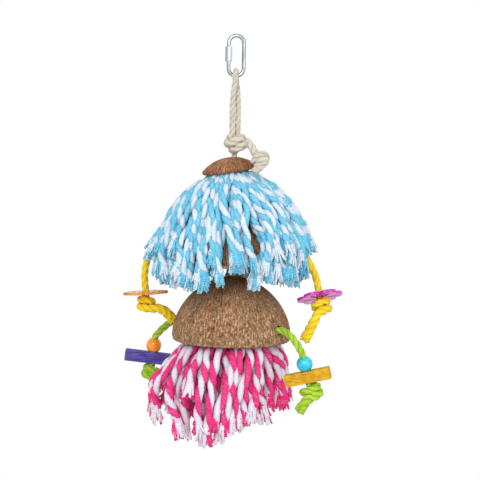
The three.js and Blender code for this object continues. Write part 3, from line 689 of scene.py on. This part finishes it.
def cross_cord(colour, middle):
    """The hidden run of a colour's side cords through their shell, past the rope."""
    body, material, turn, height = CORD_KINDS[colour][:4]
    left = [in_hole(turn + 180, reach, height) for reach in (CROSS_END, CROSS_BEND)]
    right = [in_hole(turn, reach, height) for reach in (CROSS_BEND, CROSS_END)]
    route = smooth_route([*left, middle, *right], SIDE_CORD * MM / 4)
    name = colour + "_cross_cord"
    tie(twisted_cord(name + "_twisted", route, SIDE_CORD, material), colour + "_cord", body, name)


cross_cord("yellow", at(1.3, BESIDE_ROPE, UPPER_HOLE))
cross_cord("green", in_hole(LOWER_HOLE_TURN + 90, BESIDE_ROPE, LOWER_HOLE))

# Rope: the loop over the link, the main knot with its tail, and the runs and stopper knots below
upright = Vector((0, 0, 1))
main_axis = lean(-0.8, -0.1)
main_seat = at(1.4, 0, -91.5) + main_axis * 9.6 * MM
main_tail = [at(10.2, -3.4, -90.4), at(12.4, -7.6, -92.2)]
main_knot = Knot(main_seat, main_axis, MAIN_KNOT_CORD, ring=6.4, turns=1.6, end=-40, tail=main_tail)
tail_axis = Vector((-0.6, 0.5, 0.62)).normalized()
tail_seat = at(18.7, -17.4, -100.6)
tail_end = [at(20.8, -26, -112.6)]
tail_knot = Knot(tail_seat, tail_axis, TAIL_KNOT_CORD, ring=5.6, turns=1.5, end=-70, tail=tail_end)
tail_way = [at(11.6, -6, -91.6), at(13.8, -10, -93.4), at(16.2, -13.8, -96.8)]
tail_route = smooth_route([*tail_way, tail_seat + tail_axis * MM, tail_seat], TAIL_CORD * MM / 5)
bow_bottom = LINK_LOWER - LINK_BOW
loop_radius = LINK_WIRE / 2 + SEAT_GAP + ROPE / 2
diagonal = loop_radius * sqrt(0.5)


def leg(side):
    """One leg of the loop, from inside the main knot up to the bow."""
    return [
        at(LEG_SPREAD * side, LEG_DEPTH * side, -86),
        at(LEG_SPREAD * side, LEG_DEPTH * side, -74),
        at(LEG_SPREAD * side, 2.2 * side, -60),
        at(1.6 * side, 3.4 * side, -46),
        at(0.4 * side, loop_radius * side, bow_bottom - 3),
        at(0, diagonal * side, bow_bottom + diagonal),
    ]


loop_route = smooth_route([*leg(-1), at(0, 0, bow_bottom + loop_radius), *leg(1)[::-1]], ROPE * MM / 5)


def rope_piece(name, node_name, route, cord=ROPE):
    return tie(twisted_cord(name, route, cord, natural_rope), "natural_rope", "hanger", node_name)


def rope_knot(name, node_name, knot, *fray):
    tie(knot_piece(name, knot, natural_rope, *fray), "natural_rope", "hanger", node_name)


loop = rope_piece("rope_loop", "hanging_loop", loop_route)
rope_piece("rope_tail", "knot_tail", tail_route, TAIL_CORD)
rope_knot("rope_main_knot", "main_knot", main_knot)
rope_knot("rope_tail_knot", "tail_knot", tail_knot, 12, TAIL_BRUSH, TAIL_SWELL)
for name in ("rope_neck", "rope_middle", "rope_lower"):
    low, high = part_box(name)
    route = smooth_route([Vector((0, 0, high[2])), Vector((0, 0, low[2]))], ROPE * MM / 4)
    rope_piece(name + "_twisted", name, route)
for seed, name in enumerate(("upper_stopper_knot", "lower_stopper_knot", "end_knot"), 20):
    top = Vector((0, 0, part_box(name)[1][2] + SEAT_GAP * MM))
    knot = Knot(top, upright, STOPPER_CORD, ring=5.0, turns=1.4, end=-90)
    rope_knot(name + "_tied", name, knot, seed, STOPPER_BRUSH)


# Yarn mops

def turn_from(a, b):
    """The turn from angle b to angle a, to the left or right whichever is shorter."""
    return atan2(sin(a - b), cos(a - b))


def near(angle, turn, half):
    """Whether an angle lies within half a span of degrees of a turn."""
    return abs(turn_from(angle, radians(turn))) < radians(half)


def toward(angle, turn):
    """How far an angle faces a turn in degrees: 1 right at it, and 0 a quarter turn away and beyond."""
    return max(0.0, cos(angle - radians(turn)))


def drop(pairs, angle, sways, dice, lean_x=0.0, lean_from=0.0):
    """Points of a strand from (radius, height) pairs at an angle, swung by the sways at its middle, its end
    and three quarters down, kinked a little on its way, and leaning to the left below a height."""
    points = []
    last = len(pairs) - 1
    for i, (radius, height) in enumerate(pairs):
        share = i / last
        swung = angle + sways[0] * sin(pi * share) + sways[1] * share * share
        swung += sways[2] * exp(-(((share - 0.75) / 0.15) ** 2))
        swung += share * dice.uniform(-KINK, KINK) / radius
        aside = -lean_x * max(0.0, lean_from - height)
        points.append(at(radius * cos(swung) + aside, radius * sin(swung), height))
    return points


def strand(spun, points, yarn, lay, dice):
    """A two-ply strand, pressed thin where it is bound and opening at its frayed end."""
    route = smooth_route(points, yarn * MM / 3.2)
    radius = yarn * MM / 2
    phase = dice.uniform(0, 6)

    def fullness(share):
        opening = max(0.0, share - 0.88) / 0.12
        pressed = max(0.0, 0.3 - share)
        return radius * (0.97 + 0.08 * sin(11 * share + phase) + 0.12 * opening - 0.7 * pressed)

    lay_here = -lay * MM * dice.uniform(0.75, 1.25)
    spun.tube(route, fullness, YARN_PLIES, lay_here, sides=12, start=dice.random(), waver=0.09)
    along = ((route[-1] - route[-3]).normalized() - 0.6 * upright).normalized()
    brush = MOP_BRUSH * MM * dice.uniform(0.7, 1.2)
    spun.fray(route[-1], along, radius, YARN_PLIES, brush, yarn * MM * 0.42, dice)


def spread_angles(count, dice):
    """Angles all round, each a little off its even place."""
    return [2 * pi * (n + dice.uniform(-0.25, 0.25)) / count for n in range(count)]


def lie(angle, layer, stray, dice):
    """A strand's sways: neighbours lean alike at middle and end, and each strays a little."""
    middle = MIDDLE_SWAY * sin(3 * angle + 2 * layer) + stray * dice.uniform(-4, 4)
    end = END_SWAY * sin(4 * angle + 3 * layer + 1) + stray * dice.uniform(-6, 6)
    return radians(middle), radians(end), 0.0


def mop_layer(colour, layer, strands, yarn, lay, material, body, dice):
    """One layer of a mop from its strands' points. The outer one stands for the solid's four quarters."""
    spun = Spun()
    for points in strands:
        strand(spun, points, yarn, lay, dice)
    nodes = [f"{colour}_mop_{quarter}" for quarter in MOP_QUARTERS] if layer == "outer" else []
    tie(spun.make(f"{colour}_yarn_{layer}", material), colour + "_yarn", body, *nodes)


def blue_pairs(angle, set_in, end):
    """A blue strand's (radius, height) pairs from under the cap to its end, set in from the outer layer."""
    left = max(0.0, -cos(angle))
    widest = 66.5 + 6 * left
    cone = [
        (16, -117.5), (22, -122.5), (26, -126.3), (33, -129.5), (41, -137), (50, -146.5), (56.5, -157),
        (62, -167.5), (66 + 4 * left, -178), (widest, -187), (widest, -230),
    ]
    pairs = [(radius - set_in * min(1.0, radius / 60), height - 0.3 * set_in) for radius, height in cone]
    upper = max(i for i, pair in enumerate(pairs) if pair[1] > end)
    (radius, height), (next_radius, next_height) = pairs[upper:upper + 2]
    tip_radius = radius + (next_radius - radius) * (height - end) / (height - next_height)
    return [*[pair for pair in pairs if pair[1] > end + 8], (tip_radius, end)]


def blue_mop():
    """Long in front and behind, short over the side cords, left and mid front, parted at the front right."""
    dice = random.Random(BLUE_SEED)
    spin = random.Random(BLUE_SEED + 1)
    layers = (("inner", 46, 7.0, 0.4), ("middle", 40, 3.6, 1.4), ("outer", 38, 0.0, 2.2))
    for number, (layer, count, set_in, stray) in enumerate(layers):
        strands = []
        for angle in spread_angles(count, dice):
            front = toward(angle, turn=-110)
            back = max(0.0, sin(angle))
            tip = BLUE_TIP - BLUE_FRONT_DROP * front * front - BLUE_BACK_DROP * back
            tip += dice.uniform(*TIP_SPREAD)
            if layer == "outer":
                tip += dice.choice(BLUE_RAISES)
            if near(angle, turn=85, half=14):
                tip -= BLUE_MID_BACK_DROP
            if layer != "inner" and near(angle, turn=180, half=28):
                tip = dice.uniform(*BLUE_LEFT_TIPS)
            if near(angle, turn=-86, half=15):
                tip = dice.uniform(*BLUE_FRONT_TIPS)
            sways = lie(angle, number, stray, dice)
            from_parting = turn_from(angle, radians(PARTING_TURN))
            beside = 1 - abs(from_parting) / radians(PARTING_HALF)
            if beside > 0:
                sways = (0.0, 0.0, copysign(radians(PARTING_PUSH * beside), from_parting))
            if any(near(angle, UPPER_HOLE_TURN + opposite, half=9) for opposite in (0, 180)):
                tip = dice.uniform(*BLUE_CORD_TIPS)
                sways = (0.0, 0.0, 0.0)
            pairs = blue_pairs(angle, set_in + dice.uniform(-2, 1.6), tip + 0.8 * MOP_BRUSH)
            strands.append(drop(pairs, angle, sways, dice))
        mop_layer("blue", layer, strands, BLUE_YARN, BLUE_LAY, blue_white, "canopy", spin)


def pink_pairs(angle, layer, end):
    """A pink strand's (radius, height) pairs from the rope out over the rim and down to its end."""
    if layer == "inner":
        return [(7, -264), (19, -270.5), (27, PINK_RIM - 19), (30, PINK_RIM - 36), (32, end + 2)]
    flare = LEFT_FLARE * toward(angle, turn=203) ** 1.7
    flare += RIGHT_FLARE * toward(angle, turn=5) ** 3
    gap = abs(turn_from(angle, radians(LOWER_HOLE_TURN))) / radians(HOLE_TUCK_TURN)
    tuck = HOLE_TUCK * exp(-gap * gap)
    set_in = 6.0 + 0.25 * flare if layer == "middle" else 0.0
    hang = PINK_HANG - tuck - set_in
    pairs = [
        (8, -264 - set_in / 2), (24, -266 - set_in / 2), (37 - set_in, -268.5 - set_in / 2),
        (44.5 - 0.6 * tuck - set_in, -276), (hang + 0.45 * flare, -287.5), (hang + 0.95 * flare, -305.5),
    ]
    return [*[pair for pair in pairs if pair[1] > end + 8], (hang + 0.85 * flare, end)]


def pink_mop():
    """Longest at the front left, with some short strands at the left."""
    dice = random.Random(PINK_SEED)
    spin = random.Random(PINK_SEED + 1)
    longest = radians(PINK_FRONT_TURN)
    for number, (layer, count) in enumerate((("inner", 22), ("middle", 30), ("outer", 31)), 1):
        strands = []
        for angle in spread_angles(count, dice):
            fall = 1.25 if angle < longest else 0.72
            front = max(0.0, cos(fall * abs(turn_from(angle, longest))))
            right = max(0.0, cos(angle))
            tip = PINK_TIP - PINK_FRONT_DROP * front * front + PINK_RIGHT_RAISE * right ** 4
            tip += dice.uniform(*TIP_SPREAD)
            sways = lie(angle, number, PINK_STRAY, dice)
            if near(angle, turn=200, half=30) and dice.random() < 0.25:
                tip = PINK_RIM - dice.uniform(42, 52)
            pairs = pink_pairs(angle, layer, tip + 0.9 * MOP_BRUSH)
            strands.append(drop(pairs, angle, sways, dice, PINK_LEAN, PINK_RIM - 5))
        mop_layer("pink", layer, strands, PINK_YARN, PINK_LAY, pink_white, "lower", spin)


blue_mop()
pink_mop()


# Hard pieces, modelled by hand operations

def alone(piece=None):
    """Selects one piece, or nothing."""
    bpy.ops.object.select_all(action="DESELECT")
    if piece:
        piece.select_set(True)
        bpy.context.view_layer.objects.active = piece


def added(operator, **settings):
    """The piece that an operator adds."""
    alone()
    operator(**settings)
    return bpy.context.object


def edit():
    """Opens the active piece for editing, all of it selected."""
    bpy.ops.object.mode_set(mode="EDIT")
    bpy.ops.mesh.select_all(action="SELECT")


def modify(piece, kind, **settings):
    """Adds a modifier and applies it."""
    alone(piece)
    modifier = piece.modifiers.new(kind.lower(), kind)
    for name, value in settings.items():
        setattr(modifier, name, value)
    bpy.ops.object.modifier_apply(modifier=modifier.name)


def round_edges(piece, width, segments, sharpest):
    """Rounds the edges that are sharper than an angle in degrees."""
    limit = {"limit_method": "ANGLE", "angle_limit": radians(sharpest)}
    modify(piece, "BEVEL", width=width * MM, segments=segments, **limit)


def settle(piece, place):
    """Puts a piece in its place and keeps that place in its mesh."""
    alone(piece)
    piece.matrix_world = place
    bpy.ops.object.transform_apply(location=True, rotation=True, scale=True)


def dress(piece, name, material, node_name, body, slot, smooth=35):
    """Names a finished piece, gives it its finish and ties it to the frame."""
    alone(piece)
    piece.name = name
    piece.data.name = name
    piece.data.materials.clear()
    piece.data.materials.append(material)
    bpy.ops.object.shade_smooth_by_angle(angle=radians(smooth))
    tie(piece, slot, body, node_name)


def turned(profile, steps):
    """A line of (radius, height) points in millimetres, extruded and spun about Z."""
    piece = added(bpy.ops.mesh.primitive_plane_add, size=MM)
    edit()
    bpy.ops.mesh.merge(type="CENTER")
    points = [at(radius, 0, height) for radius, height in profile]
    bpy.ops.transform.translate(value=points[0])
    for here, there in zip(points, points[1:]):
        bpy.ops.mesh.extrude_region_move(TRANSFORM_OT_translate={"value": there - here})
    bpy.ops.mesh.select_all(action="SELECT")
    bpy.ops.mesh.spin(steps=steps, angle=2 * pi, center=(0, 0, 0), axis=(0, 0, 1))
    bpy.ops.mesh.select_all(action="SELECT")
    bpy.ops.mesh.remove_doubles(threshold=0.005 * MM)
    bpy.ops.mesh.normals_make_consistent(inside=False)
    bpy.ops.object.mode_set(mode="OBJECT")
    return piece


def cylinder(sides, radius, length):
    return added(bpy.ops.mesh.primitive_cylinder_add, vertices=sides, radius=radius * MM, depth=length * MM)


def bore(piece, radius, place=Matrix.Identity(4)):
    """Cuts a round hole right through, along the place's Z axis."""
    cutter = cylinder(32, radius, BORE_LENGTH)
    settle(cutter, place)
    modify(piece, "BOOLEAN", object=cutter, operation="DIFFERENCE", solver="EXACT")
    bpy.data.objects.remove(cutter)


def moved(x, y, z):
    return Matrix.Translation(at(x, y, z))


def on_cord(seat, axis, height):
    """A place on a side cord's axis above its seat, turned to it as in the CAD."""
    turn = upright.rotation_difference(axis).to_matrix().to_4x4()
    return Matrix.Translation(seat + axis * height * MM) @ turn


def dome_share(share):
    """A dome's radius at a share of its height, as a share of its widest."""
    return max(0.0, 1 - share ** SHELL_POWER) ** (1 / SHELL_POWER)


def shell(name, node_name, body, crown, hole_turn, hole_height):
    """Half a coconut, dome up, with a sanded rim, a hole for the rope and two for the side cords."""
    ring = crown - SHELL_DOME
    rim = ring - SHELL_SKIRT
    inside = SHELL_RADIUS - SHELL_WALL
    shares = [sin(pi / 2 * band / SHELL_BANDS) for band in range(SHELL_BANDS + 1)]
    outer = [(SHELL_RADIUS * dome_share(share), ring + SHELL_DOME * share) for share in shares]
    inner = [(inside * dome_share(share), ring + (SHELL_DOME - SHELL_WALL) * share) for share in shares]
    edge = [
        (inside - SHELL_RIM_IN, rim + SHELL_RIM_IN), (inside, rim + 0.1),
        (SHELL_RADIUS - 1.8, rim), (SHELL_RADIUS - 0.9, rim + 0.7),
    ]
    piece = turned([*inner[::-1], *edge, *outer], steps=72)
    bore(piece, ROPE / 2 + THREAD_GAP, moved(0, 0, crown))
    across = Matrix.Rotation(radians(hole_turn), 4, "Z") @ Matrix.Rotation(pi / 2, 4, "Y")
    bore(piece, SHELL_HOLE, moved(0, 0, hole_height) @ across)
    dress(piece, name, shell_brown, node_name, body, "coconut_shell")


shell("upper_coconut", "upper_shell", "canopy", UPPER_CROWN, UPPER_HOLE_TURN, UPPER_HOLE)
shell("lower_coconut", "lower_shell", "lower", LOWER_CROWN, LOWER_HOLE_TURN, LOWER_HOLE)


def cap():
    """A round slice of a coconut's dome with a soft edge, leaning to the left."""
    edge = asin(CAP_RADIUS / CAP_DOME)
    middle = CAP_DOME - CAP_WALL / 2
    shares = [band / CAP_BANDS for band in range(CAP_BANDS + 1)]
    profile = [
        *[(CAP_DOME - CAP_WALL, (edge - 0.03) * share) for share in shares],
        (middle - 1.3, edge - 0.01),
        (middle, edge),
        (middle + 1.2, edge - 0.012),
        *[(CAP_DOME, (edge - 0.05) * share) for share in shares[::-1]],
    ]
    piece = turned([(radius * sin(a), radius * cos(a)) for radius, a in profile], steps=64)
    settle(piece, moved(0, 0, CAP_TOP - CAP_DOME) @ Matrix.Rotation(-radians(CAP_TILT), 4, "Y"))
    bore(piece, ROPE / 2 + CAP_ROPE_GAP, moved(0, 0, CAP_TOP))
    dress(piece, "cap_disc", cap_brown, "coconut_cap", "cap", "coconut_cap")


cap()


def link_wire():
    """The wire oval, drawn as a curve with a round section and made a mesh."""
    upper_end = NUT_TOP - NUT_THREAD
    lower_end = NUT_TOP - NUT_TRAVEL - NUT_OVERHANG

    def bow(middle, start):
        angles = [start - pi * i / BOW_STEPS for i in range(BOW_STEPS + 1)]
        return [(LINK_BOW * cos(a), middle + LINK_BOW * sin(a)) for a in angles]

    points = [
        *[(-LINK_BOW, upper_end + (LINK_UPPER - upper_end) * i / 4) for i in range(4)],
        *bow(LINK_UPPER, pi),
        *[(LINK_BOW, LINK_UPPER + (LINK_LOWER - LINK_UPPER) * i / 12) for i in range(1, 12)],
        *bow(LINK_LOWER, 0.0),
        *[(-LINK_BOW, LINK_LOWER + (lower_end - LINK_LOWER) * i / 6) for i in range(1, 7)],
    ]
    curve = bpy.data.curves.new("link_wire", "CURVE")
    curve.dimensions = "3D"
    curve.bevel_depth = LINK_WIRE / 2 * MM
    curve.bevel_resolution = 6
    curve.use_fill_caps = True
    spline = curve.splines.new("POLY")
    spline.points.add(len(points) - 1)
    for point, (x, z) in zip(spline.points, points):
        point.co = (x * MM, 0, z * MM, 1)
    alone(linked("link_wire", curve))
    bpy.ops.object.convert(target="MESH")
    dress(bpy.context.object, "link_wire", wire_zinc, "quick_link_body", "link", "zinc_steel", smooth=50)


link_wire()


def link_nut():
    """A hexagon sleeve with its corners turned off at both ends, bored for the wire."""
    corner = NUT_FLATS / sqrt(3)
    piece = cylinder(6, corner, NUT_LENGTH)
    turning = cylinder(48, corner + 0.05, NUT_LENGTH)
    edit()
    bpy.ops.mesh.bevel(offset=NUT_CHAMFER * MM, segments=1, affect="EDGES", clamp_overlap=True)
    bpy.ops.object.mode_set(mode="OBJECT")
    modify(piece, "BOOLEAN", object=turning, operation="INTERSECT", solver="EXACT")
    bpy.data.objects.remove(turning)
    settle(piece, moved(-LINK_BOW, 0, NUT_TOP - NUT_LENGTH / 2))
    bore(piece, LINK_WIRE / 2 + SLIP_GAP, moved(-LINK_BOW, 0, NUT_TOP))
    round_edges(piece, width=0.12, segments=2, sharpest=25)
    dress(piece, "link_nut", nut_zinc, "quick_link_nut", "nut", "zinc_steel", smooth=30)


link_nut()


def flower(name, node_name, material, slot, seat):
    """A plate with round petals: rings drawn in from the scalloped edge, a raised rib along each petal."""
    radius = FLOWER_WIDTH / 2
    inside = CORD_HOLE / radius
    circle = bpy.ops.mesh.primitive_circle_add
    piece = added(circle, vertices=96, radius=radius * MM, fill_type="NOTHING")
    edit()
    smaller = inside ** (1 / FLOWER_RINGS)
    for ring in range(FLOWER_RINGS):
        bpy.ops.mesh.extrude_edges_move(TRANSFORM_OT_translate={"value": (0, 0, 0)})
        bpy.ops.transform.resize(value=(smaller, smaller, 1))
    bpy.ops.object.mode_set(mode="OBJECT")
    for vertex in piece.data.vertices:
        place = vertex.co
        turn = FLOWER_PETALS * atan2(place.y, place.x) / 2
        out = max(0.0, (place.length / (radius * MM) - inside) / (1 - inside))
        place.xy = place.xy * (1 - out * PETAL_DIP * (1 - sqrt(abs(cos(turn)))))
        off_rib = turn / pi - round(turn / pi)
        ribs = sum(exp(-(off_rib * thin) ** 2) for thin in (7, 16))
        place.z += FLOWER_RIB / 2 * MM * ribs * sin(pi * min(1.0, out * 1.05))
    modify(piece, "SOLIDIFY", thickness=FLOWER_THICK * MM, offset=0)
    round_edges(piece, width=0.45, segments=2, sharpest=50)
    settle(piece, on_cord(*seat, FLOWER_RIB + FLOWER_THICK / 2))
    dress(piece, name, material, node_name, node_name, slot)


flower("orange_flower", "flower_left", orange_acrylic, "orange_acrylic", yellow_left)
flower("magenta_flower", "flower_right", magenta_acrylic, "magenta_acrylic", yellow_right)


def bead(name, node_name, material, slot, seat):
    """A round bead that sits on its block with the mouth of its hole."""
    sphere = bpy.ops.mesh.primitive_uv_sphere_add
    piece = added(sphere, segments=48, ring_count=32, radius=BEAD_WIDTH / 2 * MM)
    bore(piece, CORD_HOLE)
    round_edges(piece, width=0.35, segments=3, sharpest=40)
    mouth = sqrt((BEAD_WIDTH / 2) ** 2 - CORD_HOLE ** 2)
    settle(piece, on_cord(*seat, BLOCK_HEIGHT + SEAT_GAP + mouth))
    dress(piece, name, material, node_name, node_name, slot, smooth=40)


bead("orange_round_bead", "bead_left", orange_bead, "orange_bead", green_left)
bead("blue_round_bead", "bead_right", blue_bead, "blue_bead", green_right)


def block(name, node_name, material, slot, seat, length, turn):
    """A wooden bar with rounded edges, bored across its middle."""
    piece = added(bpy.ops.mesh.primitive_cube_add, size=MM)
    piece.scale = (length, BLOCK_DEPTH, BLOCK_HEIGHT)
    bpy.ops.object.transform_apply(location=False, rotation=False, scale=True)
    bore(piece, CORD_HOLE)
    round_edges(piece, BLOCK_EDGE, segments=3, sharpest=40)
    settle(piece, on_cord(*seat, BLOCK_HEIGHT / 2) @ Matrix.Rotation(radians(turn), 4, "Z"))
    dress(piece, name, material, node_name, node_name, slot)


block("purple_block", "block_left", purple_wood, "purple_wood", green_left, LEFT_BLOCK, 0)
block("ochre_block", "block_right", ochre_wood, "ochre_wood", green_right, RIGHT_BLOCK, RIGHT_BLOCK_TURN)


# Stage: a white floor and world, a large soft lamp at the front left and a weaker one at the right

def white_where_seen(tree, kind, surface, output):
    """Plain white where the camera, a reflection or clear plastic sees it, and the surface node elsewhere."""
    path = node(tree, "LightPath").node.outputs
    seen = path["Is Camera Ray"]
    for ray in ("Is Glossy Ray", "Is Transmission Ray"):
        seen = node(tree, "Math", [seen, path[ray]], operation="MAXIMUM")
    white = node(tree, kind, {"Color": linear("#ffffff"), "Strength": 1.0})
    mixed = node(tree, "MixShader", [seen, tree.nodes[surface].outputs[0], white])
    fill(tree, tree.nodes[output], {"Surface": mixed})


floor = added(bpy.ops.mesh.primitive_plane_add, size=12, location=(0, 0, -1.6))
floor.name = "floor"
paper, _, finish = blank("white_paper")
finish({"Base Color": linear("#f2f2f2"), "Roughness": 0.9})
white_where_seen(paper.node_tree, "Emission", "Principled BSDF", "Material Output")
floor.data.materials.append(paper)
world = bpy.data.worlds.new("studio")
scene.world = world
world.use_nodes = True
tree = world.node_tree
fill(tree, tree.nodes["Background"], {"Color": linear("#ffffff"), "Strength": 0.75})
white_where_seen(tree, "Background", "Background", "World Output")
middle = Vector((0, 0, -0.18))
for name, place, power, size in (
    ("key_lamp", Vector((-0.35, -1.55, 0.55)), 14.0, 1.0),
    ("fill_lamp", Vector((1.2, -1.0, 0.1)), 5.0, 1.2),
):
    lamp = bpy.data.lights.new(name, "AREA")
    lamp.energy = power
    lamp.size = size
    holder = linked(name, lamp)
    holder.location = place
    holder.rotation_euler = (middle - place).to_track_quat("-Z", "Y").to_euler()
scene.view_settings.view_transform = "Standard"
